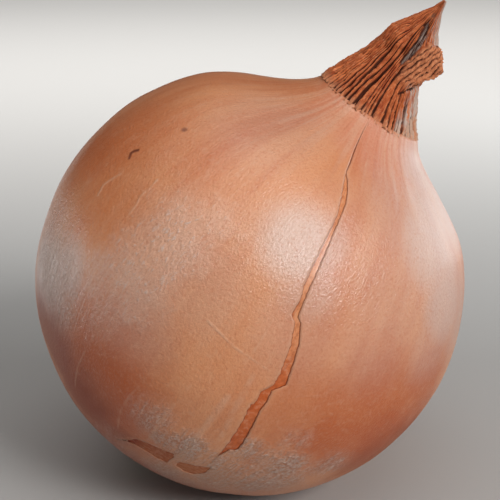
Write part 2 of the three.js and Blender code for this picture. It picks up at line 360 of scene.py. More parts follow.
def line_distance(points, path):
    """Distance from 2-D points to a path, and on which side of it they lie."""
    best = np.full(len(points), np.inf)
    side = np.zeros(len(points))
    for a, b in zip(np.array(path[:-1], float), np.array(path[1:], float)):
        way = b - a
        share = np.clip((points - a) @ way / (way @ way), 0, 1)
        gap = points - a - share[:, None] * way
        distance = np.linalg.norm(gap, axis=1)
        nearer = distance < best
        best[nearer] = distance[nearer]
        side[nearer] = np.sign(way[0] * gap[nearer, 1] - way[1] * gap[nearer, 0])
    return best, side


# ---- Papery skin ----


def split_edges(latitude):
    """Longitudes of the split's left and right edges, which meet where it is closed."""
    left, right = table(SPLIT_LEFT, 1, latitude), table(SPLIT_RIGHT, 1, latitude)
    grain = np.stack([latitude, latitude * 0, latitude * 0], -1)
    rough = 0.2 * np.clip((right - left) / 1.5, 0, 1)
    left = left + rough * ripple(grain, 1.1, 3.3, 3)
    right = right + rough * ripple(grain, 0.9, 8.1, 3)
    above, below = latitude >= SPLIT_TOP[0], latitude <= SPLIT_END[0]
    middle = np.where(above, SPLIT_TOP[1], np.where(below, SPLIT_END[1], (left + right) / 2))
    closed = above | below
    return np.where(closed, middle, left), np.where(closed, middle, np.maximum(right, left))


def column_turns(count):
    """Turns from the split's right edge round to its left edge, closer together near the split."""
    turn = np.linspace(0, 360, 2000)
    off = np.minimum(turn, 360 - turn)
    spacing = 0.55 + 1.1 * smooth(off, 12, 50) + 2.3 * smooth(off, 50, 120)
    steps = np.concatenate([[0], np.cumsum(1 / spacing[1:])])
    return np.interp(np.linspace(0, steps[-1], count), steps, turn)


def skin_relief(outline, longitude, latitude):
    """How far the skin stands off its plain outline, in millimetres."""
    dents = 0.22 * ripple(outline.upright(longitude, latitude) / MM, 17, 5.5, 2)
    ring = around(longitude, latitude / 300)
    flutes = 0.06 * ripple(ring, 0.12, 1.7, 2) * smooth(latitude, 25, 60)
    flutes += 0.03 * ripple(ring, 0.05, 4.2, 2) * smooth(latitude, -10, 40)
    puckers = 0.25 * ripple(ring, 0.09, 9.3, 2) * smooth(-latitude, 62, 80)
    return dents + flutes + puckers


def build_skin_points(outline, start, columns, rows):
    """Longitudes and latitudes of a grid that runs from the split's right edge round to its left."""
    latitude = outline.latitudes(rows, start)
    left, right = split_edges(latitude)
    turns = column_turns(columns)
    middle, reach = 3.0, 70
    near_right = 1 - smooth(turns, 0, reach)
    near_left = 1 - smooth(360 - turns, 0, reach)
    longitude = middle + turns[None, :] + (right - middle)[:, None] * near_right
    longitude = longitude + (left - middle)[:, None] * near_left
    latitude = np.repeat(latitude[:, None], columns, 1)
    return longitude, latitude, left, right


def in_polygon(points, corners):
    inside = np.zeros(len(points), bool)
    corners = np.array(corners, float)
    for a, b in zip(corners, np.roll(corners, -1, 0)):
        crosses = (a[1] > points[:, 1]) != (b[1] > points[:, 1])
        with np.errstate(divide="ignore", invalid="ignore"):
            at = (b[0] - a[0]) * (points[:, 1] - a[1]) / (b[1] - a[1]) + a[0]
        inside ^= crosses & (points[:, 0] < at)
    return inside


def torn(corners, seed, step=0.7, spread=0.22):
    """A polygon with its sides broken into short ragged steps."""
    chance = random.Random(seed)
    ragged = []
    for a, b in zip(corners, corners[1:] + corners[:1]):
        steps = max(2, int(math.dist(a, b) / step))
        for i in range(steps):
            share = i / steps
            loose = 0 if i == 0 else spread
            ragged.append(
                (
                    a[0] + (b[0] - a[0]) * share + chance.uniform(-loose, loose),
                    a[1] + (b[1] - a[1]) * share + chance.uniform(-loose, loose) * 0.8,
                )
            )
    return ragged


def nearest_on(outline, place):
    """The place on a closed 2-D outline nearest to another place."""
    a, b = outline[:-1], outline[1:]
    way = b - a
    share = np.clip(((place - a) * way).sum(1) / (way * way).sum(1), 0, 1)
    near = a + share[:, None] * way
    return near[np.argmin(np.linalg.norm(near - place, axis=1))]


def tear_out(places, faces, edge):
    """Takes the faces inside each tear away, and moves the points left at its rim onto its outline."""
    for number, corners in enumerate(TEARS):
        ragged = torn(corners, 11 + number)
        of_face = places[faces]
        # A face across the 180-degree line has its middle in the wrong place
        whole = np.ptp(of_face[..., 0], axis=1) < 90
        gone = in_polygon(of_face.mean(1), ragged) & whole
        rim = np.intersect1d(faces[gone].ravel(), faces[~gone].ravel())
        faces = faces[~gone]
        hull = np.array(ragged + ragged[:1])
        for point in rim:
            places[point] = nearest_on(hull, places[point])
            edge[point] = 1
    return faces


def skin_piece(outline, columns=160, rows=296):
    sizes = outline.sizes
    longitude, latitude, left, right = build_skin_points(outline, sizes.root_radius * 0.96, columns, rows)
    faces = np.array(grid_faces(rows, columns, closed=False))
    turn = longitude
    places = np.stack([(longitude.ravel() + 180) % 360 - 180, latitude.ravel()], 1)
    edge = np.zeros(len(places))
    faces = tear_out(places, faces, edge)
    longitude, latitude = places[:, 0], places[:, 1]
    opened = np.repeat((right - left) > 0.02, columns)
    # Millimetres from the split's edges
    ring = sizes.bulb_radius / MM * np.cos(np.radians(latitude)) * math.pi / 180
    from_right = (turn - turn[:, :1]).ravel() * ring
    from_left = (turn[:, -1:] - turn).ravel() * ring
    uneven = 1 + 0.6 * ripple(np.stack([latitude, latitude * 0, latitude * 0], -1), 9, 2.2)
    lift = sizes.edge_lift / MM
    curl = lift * np.exp(-from_left / 0.9) + 0.55 * lift * np.exp(-from_right / 0.8)
    curl = np.where(opened, curl * uneven, 0) * smooth(latitude, -28, -18)
    relief = skin_relief(outline, longitude, latitude) + curl
    relief *= 1 - smooth(latitude, *UNDER_HEM)
    edge = np.maximum(edge, np.where(opened, np.exp(-np.minimum(from_left, from_right) / 0.22), 0))
    points = outline.leaned(outline.upright(longitude, latitude, relief * MM))
    rest_flat(points, 0.02 * MM)
    grain = around(longitude, np.radians(latitude))
    faces = [tuple(int(k) for k in face) for face in faces]
    piece = new_piece(
        "onion_outer_skin", points, faces, [("grain", grain), ("edge", edge)], merge=0.004 * MM
    )
    give_wall(piece, sizes.skin_wall)
    return piece


def give_wall(piece, thickness):
    """Turns an open sheet into a closed wall, thickened inwards."""
    wall = piece.modifiers.new("wall", "SOLIDIFY")
    wall.thickness = thickness
    wall.offset = -1
    wall.use_even_offset = False
    bpy.context.view_layer.update()
    done = piece.evaluated_get(bpy.context.evaluated_depsgraph_get())
    mesh = bpy.data.meshes.new_from_object(done)
    piece.modifiers.clear()
    piece.data = mesh


# ---- Bulb under the skin ----


def bulb_piece(outline, columns=150, rows=240):
    sizes = outline.sizes
    inset = sizes.skin_wall + sizes.skin_gap
    longitude, latitude, left, right = build_skin_points(outline, 1.0 * MM, columns, rows)
    # Extra columns across the split, where the bulb shows
    share = np.array([0.05, 0.13, 0.24, 0.37, 0.5, 0.63, 0.76, 0.87, 0.95])
    width = (right - left)[:, None]
    # How far each point lies from the split's edges, in millimetres: the bulb's finish paints shade in the
    # gap there
    widest, far = 38, 5
    across = np.minimum(share, 1 - share) * width * np.radians(np.cos(np.radians(latitude[:, :1])))
    at_edge = np.arange(columns) % (columns - 1) == 0
    gap_shade = np.concatenate([np.where(at_edge, 0, far) + 0 * latitude, across * widest], 1).ravel()
    longitude = np.concatenate([longitude, left[:, None] + share * width], 1)
    rows, columns = longitude.shape
    latitude = np.repeat(latitude[:, :1], columns, 1).ravel()
    longitude = longitude.ravel()
    relief = skin_relief(outline, longitude, latitude) * (1 - smooth(latitude, *UNDER_HEM))
    relief += 0.03 * ripple(around(longitude, latitude / 200), 0.03, 6.1)
    upright = outline.upright(longitude, latitude, relief * MM - inset)
    # The seat of the root plate, and a cap under the neck
    seat = -sizes.bulb_depth + 1.6 * MM
    inside = np.hypot(upright[:, 0], upright[:, 1]) < sizes.root_radius * 0.98
    upright[inside & (upright[:, 2] < 0), 2] = seat
    top = upright[:, 2].max() + 3 * MM
    points = outline.leaned(upright)
    rest_flat(points, 0.15 * MM)
    ends = outline.leaned(np.array([[0, 0, seat], [0, 0, top]]))
    grain = np.concatenate([around(longitude, np.radians(latitude)), [[0, 0, -1.5], [0, 0, 1.5]]])
    attributes = [("grain", grain), ("gap_shade", np.concatenate([gap_shade, [far, far]]))]
    points, faces = np.concatenate([points, ends]), capped_grid(rows, columns)
    return new_piece("onion_bulb", points, faces, attributes, merge=0.003 * MM)


# ---- Dry neck ----


def groove_profile(turns, sharpness):
    """0 along a ridge's crest and 1 in the groove beside it, for a coordinate counted in ridges."""
    return np.abs(2 * (turns - np.floor(turns)) - 1) ** sharpness


def inside_depth(points, corners):
    """Distance in from a closed outline: positive inside it and negative outside."""
    gap, _ = line_distance(points, list(corners) + [corners[0]])
    return np.where(in_polygon(points, corners), gap, -gap)


def neck_relief(sizes, side, front, height, turn):
    """How far the leaves stand off the neck's plain loft, and the values that colour them."""
    ring = np.stack([np.cos(turn) * 6, np.sin(turn) * 6, height * 0.14], -1)
    crumbs = np.stack([side, front, height * 0.5], -1)
    flat = np.stack([side + 0.3 * ripple(crumbs, 0.9, 1.9, 2), height + 0.4 * ripple(crumbs, 1.3, 6.3, 2)], 1)
    face = smooth(-front, 0.2, 2.2)
    size = np.hypot(side, front)
    scale = np.clip(size / 7, 0.05, 1) ** 0.7

    # Ridges that differ in depth, every third of them fading halfway, with fine fibres between
    ridges, fine = sizes.neck_ridges, 131
    chance = random.Random(5)
    depths = np.array([chance.choice((0.75, 0.9, 1.1, 1.3, 1.5)) for _ in range(ridges)])
    turns = turn / math.tau * ridges + 1.1 * ripple(ring, 2.4, 1.3, 2) + 0.22 * ripple(ring, 0.6, 5.1)
    which = np.round(turns).astype(int) % ridges
    fading = np.where(which % 3 == 1, 1 - smooth(height, 9, 15), 1.0)
    patchy = 0.85 + 0.5 * ripple(crumbs, 2.6, 2.7, 2)
    main = groove_profile(turns, 1.9) * depths[which] * fading * np.clip(patchy, 0.75, 1.25)
    main *= 1 + 0.4 * smooth(-side, 1.5, 4.5)
    fibres = groove_profile(turn / math.tau * fine + 1.1 * ripple(ring, 1.1, 7.7, 2), 2)

    # The folded lobe, with grooves of its own that run across
    in_lobe = inside_depth(flat, LOBE)
    lobe = smooth(in_lobe, -0.25, 0.2) * face * smooth(height, 5.4, 8.4)
    across = 0.93 * side - 0.36 * height + 0.3 * ripple(crumbs, 1.4, 2.4, 2)
    main = main * (1 - lobe) + lobe * 0.7 * groove_profile(across / 0.75, 2.2)
    fibres = fibres * (1 - lobe) + lobe * groove_profile(across / 0.26, 2)

    # The deep fold beside the lobe, the torn step at the right and the shadowed gap under the lobe
    fold_gap, fold_side = line_distance(flat, FOLD)
    fold_wide = 1.0 - 0.6 * smooth(height, 15.5, 18.5)
    fold = smooth(fold_wide - fold_gap, 0, 0.55) * face * smooth(height, 8.8, 10.2) * (1 - lobe)
    step = smooth(inside_depth(flat, TORN_STEP), -0.1, 0.15) * face
    under = np.exp(-(((in_lobe + 0.25) / 0.3) ** 2)) * face * smooth(side, 0.6, 1.8)
    under *= 1 - smooth(height, 9, 11)

    depth = sizes.ridge_depth / MM
    relief = -depth * scale * main - 0.3 * depth * scale * fibres
    relief += sizes.lobe_height / MM * lobe - 0.9 * fold * (1 - 0.7 * smooth(height, 14, 20))
    relief -= 0.35 * under + 0.3 * step
    # Painted shade in the deep fold, under the lobe and in the hollows between the leaves
    dark = np.maximum(0.8 * fold, 0.85 * under)
    for x, z, reach, deep in HOLLOWS:
        dent = np.exp(-(((flat[:, 0] - x) / reach) ** 2) - ((flat[:, 1] - z) / (2.2 * reach)) ** 2) * face
        relief -= deep * dent
        dark = np.maximum(dark, 0.3 * dent)
    for x, z, reach, high in KNOBS:
        relief += high * np.exp(-((flat[:, 0] - x) ** 2 + (flat[:, 1] - z) ** 2) / reach**2) * face
    rough = ripple(np.stack([side, front, height * 0.3], -1), 0.45, 3.9, 3)
    relief += (0.2 + 0.25 * lobe) * rough * scale + 0.2 * ripple(ring, 1.6, 8.8, 2) * scale
    # Painted shade along the grooves between the ridges
    groove = np.clip(1.1 * main + 0.45 * fibres * (0.4 + main) - 0.25 * rough, 0, 1.5)
    bands = side / (size + 1e-6) + 0.5 * ripple(ring, 0.55, 4.4, 2)
    dust = smooth(bands, 0.35, 0.6) * (1 - smooth(height, 7, 9)) * (1 - lobe)
    dust = np.maximum(dust, smooth(bands, 0.2, 0.5) * smooth(height, 13, 15) * (1 - lobe) * (1 - fold))
    ash = fold * smooth(-fold_side * fold_gap, -0.35, 0.1)
    values = {"groove": groove, "crease_shade": dark, "lobe": lobe, "dust": dust, "step": step, "ash": ash}
    return relief, values


def neck_loft(sizes, columns, rows):
    """The neck's plain loft from its ragged lip up: side, front, height and turn of each point."""
    turn = np.linspace(0, math.tau, columns, endpoint=False)
    ring = np.stack([np.cos(turn), np.sin(turn), turn * 0], -1)
    lip = -0.4 + 0.45 * ring[:, 0] ** 2 + 0.2 * ripple(ring, 0.11, 2.9, 2) + 0.16 * ripple(ring, 0.03, 7.1)
    top = NECK_SECTIONS[-1][0]
    share = np.linspace(0, 1, rows)
    height = lip[None, :] + (top - lip[None, :]) * share[:, None]
    turn = np.repeat(turn[None, :], rows, 0)
    left, right, depth = [table(NECK_SECTIONS, k, height) for k in (1, 2, 3)]
    below = np.clip(-height, 0, None) * math.tan(sizes.neck_slope)
    across = left + (right - left) * smooth(np.cos(turn), -0.25, 0.25)
    proud = 0.22 * (1 - smooth(height, 0.5, 4))
    side = (across + below + proud) * np.cos(turn)
    front = (depth + below + proud) * np.sin(turn)
    return side, front, height, turn


def neck_piece(outline, columns=720, rows=130):
    sizes = outline.sizes
    side, front, height, turn = neck_loft(sizes, columns, rows)
    plain = np.stack([side, front, height], -1)
    up = np.gradient(plain, axis=0)
    normal = np.cross(np.roll(plain, -1, 1) - np.roll(plain, 1, 1), up)
    normal /= np.linalg.norm(normal, axis=2)[..., None] + 1e-9
    flat = [v.ravel() for v in (side, front, height, turn)]
    relief, values = neck_relief(sizes, *flat)
    share = np.repeat(np.linspace(0, 1, rows), columns)
    relief *= 0.6 + 0.4 * smooth(share, 0, 0.012)
    points = plain.reshape(-1, 3) + normal.reshape(-1, 3) * relief[:, None]
    lip = points[:columns]
    reach = np.hypot(lip[:, 0], lip[:, 1])[:, None]
    # The underside: the lip rolls under, then runs in to a hollow that no one sees
    under = [np.concatenate([lip[:, :2] * (1 - 0.28 / reach), lip[:, 2:] + 0.02], 1)]
    for radius, rise in ((9.0, 0.35), (8.2, 0.6)):
        under.append(np.concatenate([lip[:, :2] * radius / reach, np.full((columns, 1), rise)], 1))
    tip = [points[-columns:, 0].mean(), points[-columns:, 1].mean(), NECK_SECTIONS[-1][0] + 0.05]
    body = np.concatenate([under[2], under[1], under[0], points, [[0, 0, 3.6], tip]])
    body[:, 2] += sizes.hem_height / MM
    faces = capped_grid(rows + len(under), columns)
    values["above_lip"] = (height - height[0]).ravel()
    values["grain"] = np.stack([np.cos(flat[3]), np.sin(flat[3]), flat[2] / 22], -1)
    # The underside and the two end points take zeros
    attributes = []
    for name, value in values.items():
        lead, tail = (np.zeros((count, *value.shape[1:])) for count in (len(under) * columns, 2))
        attributes.append((name, np.concatenate([lead, value, tail])))
    return new_piece("onion_dry_neck", outline.leaned(body * MM), faces, attributes)


# ---- Root end ----


def root_plate(outline, rings=14, columns=72):
    """The woody plate: a rough dome of rings, closed by a straight side and a flat back."""
    sizes = outline.sizes
    radius, low = sizes.root_radius, -sizes.bulb_depth
    back = 1.2 * MM
    points, tone = [], []
    ways = [(math.cos(math.tau * j / columns), math.sin(math.tau * j / columns)) for j in range(columns)]
    for i in range(rings):
        ring = radius * i / (rings - 1)
        for x, y in ways:
            bump = noise.fractal(Vector((ring * x, ring * y, 0)) * 1400, 0.7, 2, 3)
            drop = 0.5 * MM * (1 - (ring / radius) ** 2) + 0.18 * MM * bump
            points.append((ring * x, ring * y, low - max(drop, -0.1 * MM)))
            tone.append(0.5 + 0.5 * bump)
    for reach, depth in ((radius, 0.7 * MM), (radius * 0.97, back)):
        points += [(reach * x, reach * y, low + depth) for x, y in ways]
    points.append((0, 0, low + back))
    tone += [0] * (len(points) - len(tone))
    faces = grid_faces(rings + 2, columns, closed=True)
    last = (rings + 1) * columns
    faces += [(last + j, last + (j + 1) % columns, len(points) - 1) for j in range(columns)]
    points = outline.leaned(np.array(points))
    return new_piece("onion_root_plate", points, faces, [("tone", tone)], merge=0.001 * MM)


def dry_roots(outline, steps=9, sides=7):
    """Short curled roots, thinner towards their tips, spread over the plate."""
    sizes = outline.sizes
    chance = random.Random(23)
    noise.seed_set(23)
    points, faces, tone = [], [], []
    for _ in range(sizes.root_count):
        spread = math.sqrt(chance.random())
        turn = chance.uniform(0, math.tau)
        out = Vector((math.cos(turn), math.sin(turn), 0))
        at = out * sizes.root_radius * 0.92 * spread + Vector((0, 0, 0.3 * MM - sizes.bulb_depth))
        way = (out * chance.uniform(0.1, 0.75) * spread + Vector((0, 0, -1))).normalized()
        bend = Vector((chance.uniform(-1, 1), chance.uniform(-1, 1), chance.uniform(-0.2, 0.5))) * 0.42
        reach = sizes.root_length * chance.uniform(0.55, 1.1)
        thick = chance.uniform(0.13, 0.28) * MM
        across = way.orthogonal().normalized()
        over = way.cross(across)
        start = len(points)
        for i in range(steps + 1):
            share = i / steps
            centre = at + way * reach * share + bend * reach * share * share
            centre += Vector(noise.noise_vector(centre * 900)) * 0.12 * MM * share
            size = thick * (1 - 0.72 * share) * (1 + 0.25 * noise.noise(centre * 3000))
            for j in range(sides):
                a = math.tau * j / sides
                points.append(tuple(centre + (across * math.cos(a) + over * math.sin(a)) * size))
                # Each root is darker towards its base on the plate: painted shade between the roots
                tone.append(0.45 + 0.55 * share)
        faces += [tuple(start + k for k in face) for face in grid_faces(steps + 1, sides, closed=True)]
        faces.append(tuple(start + j for j in reversed(range(sides))))
        faces.append(tuple(start + steps * sides + j for j in range(sides)))
    return new_piece("onion_roots", outline.leaned(np.array(points)), faces, [("tone", tone)])


# ---- Materials ----


class Finish:
    """A principled material and short ways to wire its nodes."""

    def __init__(self, name, roughness=0.5, **sockets):
        self.material = bpy.data.materials.new(name)
        self.material.use_nodes = True
        self.tree = self.material.node_tree
        self.shader = self.tree.nodes["Principled BSDF"]
        self.shader.inputs["Roughness"].default_value = roughness
        for socket, value in sockets.items():
            self.shader.inputs[socket.replace("_", " ")].default_value = value

    def node(self, kind, values=(), **settings):
        node = self.tree.nodes.new(kind)
        for key, value in settings.items():
            setattr(node, key, value)
        for socket, value in values:
            if value is None:
                continue
            if isinstance(value, bpy.types.NodeSocket):
                self.tree.links.new(value, node.inputs[socket])
            elif node.inputs[socket].type == "RGBA":
                node.inputs[socket].default_value = (*value[:3], 1)
            else:
                node.inputs[socket].default_value = value
        return node

    def value(self, name):
        return self.node("ShaderNodeAttribute", attribute_name=name).outputs["Fac"]

    def vector(self, name):
        return self.node("ShaderNodeAttribute", attribute_name=name).outputs["Vector"]

    def place(self):
        return self.node("ShaderNodeTexCoord").outputs["Object"]

    def math(self, operation, a, b=None, c=None):
        values = [(0, a), (1, b), (2, c)]
        return self.node("ShaderNodeMath", values, operation=operation).outputs[0]

    def times(self, a, b):
        return self.math("MULTIPLY", a, b)

    def plus(self, base, value, share):
        """The base with a share of another value added."""
        return self.math("MULTIPLY_ADD", value, share, base)

    def vectors(self, operation, a, b):
        values = [(0, a), (1 if operation != "SCALE" else "Scale", b)]
        outputs = self.node("ShaderNodeVectorMath", values, operation=operation).outputs
        return outputs["Value" if operation in ("DISTANCE", "DOT_PRODUCT") else "Vector"]

    def part(self, vector, axis):
        return self.node("ShaderNodeSeparateXYZ", [(0, vector)]).outputs[axis]

    def noise(self, vector, scale, detail=2.0, roughness=0.5, distortion=0.0):
        values = [("Vector", vector), ("Scale", scale), ("Detail", detail)]
        values += [("Roughness", roughness), ("Distortion", distortion)]
        return self.node("ShaderNodeTexNoise", values).outputs["Fac"]

    def fibres(self, grain, squeeze, *settings):
        """Noise drawn out along the grain, by squeezing the grain's own length."""
        return self.noise(self.vectors("MULTIPLY", grain, (1, 1, squeeze)), *settings)

    def step(self, value, low, high, out_low=0.0, out_high=1.0):
        values = [("Value", value), ("From Min", low), ("From Max", high)]
        values += [("To Min", out_low), ("To Max", out_high)]
        return self.node("ShaderNodeMapRange", values, interpolation_type="SMOOTHSTEP").outputs["Result"]

    def mix(self, share, a, b):
        # A mix node keeps its colour sockets after those for numbers and vectors
        values = [(0, share), (6, a), (7, b)]
        return self.node("ShaderNodeMix", values, data_type="RGBA").outputs[2]

    def layers(self, base, *rows):
        """Colours laid over a base: each row has a value, its two ends, a strength and a colour."""
        for value, low, high, strength, over in rows:
            base = self.mix(self.step(value, low, high, 0.0, strength), base, over)
        return base

    def bump(self, height, distance, strength=1.0):
        values = [("Height", height), ("Distance", distance), ("Strength", strength)]
        return self.node("ShaderNodeBump", values).outputs["Normal"]

    def strongest(self, values, operation="MAXIMUM"):
        total = None
        for value in values:
            total = value if total is None else self.math(operation, total, value)
        return total

    def stroke(self, here, path, width):
        """1 along a path of points in the frame, falling to 0 at a width from it."""
        gaps = []
        for a, b in zip(path[:-1], path[1:]):
            a, b = Vector(a), Vector(b)
            way = b - a
            off = self.vectors("SUBTRACT", here, a)
            along = self.vectors("DOT_PRODUCT", off, way / way.length_squared)
            along = self.math("MINIMUM", self.math("MAXIMUM", along, 0.0), 1.0)
            gaps.append(self.vectors("DISTANCE", off, self.vectors("SCALE", way, along)))
        return self.step(self.strongest(gaps, "MINIMUM"), width, width * 0.25)

    def set(self, socket, value):
        self.tree.links.new(value, self.shader.inputs[socket])


# Marks on the skin: (longitude, latitude) paths
PALE_STROKES = [
    ([(-14.4, 4), (-9.7, 3.2), (-6, 2.4), (-1.6, 2.2), (4, 1.9)], 0.22, 0.7),
    ([(-1.6, 3), (-1.9, 12.6), (-2.6, 18.2)], 0.14, 0.3),
    ([(9.4, -2.3), (13.4, -0.5), (17.9, 2.1)], 0.14, 0.3),
    ([(-58.1, 7.8), (-59.2, 10.2), (-58.4, 12.7), (-57.2, 15.2)], 0.3, 0.85),
    ([(-45.7, 9.9), (-45.9, 13.3), (-46.9, 15.4), (-46.4, 18), (-46.7, 20.8)], 0.28, 0.9),
    ([(-39.8, -40.7), (-38.6, -31.2), (-36.8, -21.2), (-34.6, -13.7)], 0.2, 0.25),
    ([(-19.4, -41), (-20.7, -32.2), (-20.1, -24.7), (-19, -20.7)], 0.2, 0.25),
    ([(1.3, -36), (0, -20), (-0.5, -9)], 0.75, 0.42),
    ([(-9.1, -36), (-9.8, -27), (-9.6, -19)], 0.45, 0.34),
    ([(5, -21), (2.6, -9.4), (1.4, -1)], 0.6, 0.36),
    ([(3.3, 60.1), (5.6, 69)], 0.2, 0.5),
    ([(19.8, 72.9), (22, 66), (25, 56)], 0.2, 0.35),
]
DARK_STROKES = [
    ([(-59.4, 19.2), (-60.5, 20.2), (-60.3, 21.1), (-59.5, 22)], 0.36, 1),
    ([(-55.6, 33.6), (-55.3, 33.7)], 0.6, 0.75),
    ([(-19, -48.5), (-14.2, -42.4)], 0.2, 0.8),
    ([(8.4, -26.5), (8.6, -28), (9, -31)], 0.16, 0.4),
]
# Soft patches: longitude, latitude, radius in millimetres and strength
# Deeper brown patches: some are the skin's own blotches, and those on the left side are painted shade
DEEP_PATCHES = [
    (-62, 24, 9, 0.35), (-50, 10, 7, 0.3), (-72, 12, 6, 0.5), (-20, 15, 5, 0.2), (33, 9, 9, 0.7),
    (25, 0, 8, 0.6), (45, -4, 10, 1), (34, -8, 8, 0.8), (50, 12, 7, 0.8), (56, 2, 7, 0.8),
    (-30, -32, 14, 1), (-46, -20, 8, 0.6), (-40, -24, 9, 0.7), (-14, -32, 8, 0.5), (27, -8, 7, 0.8),
    (32, 2, 8, 0.6), (-30, -12, 8, 0.4), (-56, -23, 5, 0.4), (44, 6, 8, 0.7),
]
VEIL_PATCHES = [(-33, 14, 7, 1), (-33, 4, 7, 0.9), (-27, 22, 4, 0.8), (-38, 8, 5, 0.8), (-31, -3, 4, 0.7)]
BLUSH_PATCHES = [(5, 70, 8, 1), (24, 69, 7, 0.8), (-25, 72, 7, 0.5)]
DUST_PATCHES = [
    (26, -22, 5, 1), (14, -30, 4, 1), (38, -17, 4, 0.7), (1, -30, 4.5, 1), (14, -21, 3.5, 0.9),
    (-4, -30, 3.5, 0.8), (24, -32, 6, 1), (30, -30, 6, 0.9), (17, -38, 5, 0.8), (21, -12, 3, 0.4),
    (-12, -27, 4, 0.6), (-58, -14, 8, 0.5), (-70, -12, 7, 0.4), (-40, -12, 6, 0.3), (-50, -19, 5, 0.5),
    (-41, 0, 4, 0.3), (-20, -50, 5, 0.3), (5, -48, 5, 0.6),
]
# Painted sheen: pale patches where the highlights and the lights' haze fall on the skin
SHEEN_PATCHES = [
    (47, 40, 8, 0.8), (62, 56, 8, 0.8), (54, 66, 6, 0.8), (62, 30, 8, 0.7), (-60, -18, 7, 1),
    (-53, -11, 5, 0.9), (-66, -20, 7, 1), (-44, -6, 4, 0.4), (-6, 30, 7, 1), (2, 22, 6, 0.6),
    (-2, 33, 6, 0.7), (25, 48, 10, 0.5), (-30, 12, 9, 0.15), (-28, -6, 8, 0.4), (27, 30, 12, 0.4),
    (10, 38, 12, 0.3), (5, 14, 9, 0.3), (-16, 22, 8, 0.2), (40, 45, 9, 1), (50, 32, 8, 1),
    (25, 19, 9, 0.35), (-41, 52, 10, 0.35), (-21, 10, 9, 0.35), (46, 22, 7, 0.5), (46, 40, 8, 0.9),
    (48, 54, 8, 0.9),
]
# Painted shade on the lower side: patches painted browner than the rest
SHADE_PATCHES = [
    (-52, -35, 9, 1), (-37, -43, 9, 1), (-62, -33, 7, 1), (-22, -47, 6, 0.8), (62, -10, 9, 0.8),
    (52, -14, 8, 0.6),
]


def patches(finish, here, outline, spots, ragged=0.0, wobble=None):
    """The strongest of several soft round patches on the skin."""
    shares = []
    for longitude, latitude, reach, strength in spots:
        gap = finish.vectors("DISTANCE", here, Vector(outline.place(longitude, latitude)))
        if wobble is not None:
            gap = finish.plus(gap, wobble, ragged * MM)
        shares.append(finish.step(gap, reach * 1.45 * MM, reach * 0.35 * MM, 0.0, strength))
    return finish.strongest(shares)


def strokes(finish, here, outline, marks):
    """The strongest of several fine lines on the skin."""
    shares = []
    for places, width, strength in marks:
        path = [outline.place(*place, 0.2 * MM) for place in places]
        shares.append(finish.times(finish.stroke(here, path, (width + 0.15) * MM), strength))
    return finish.strongest(shares)


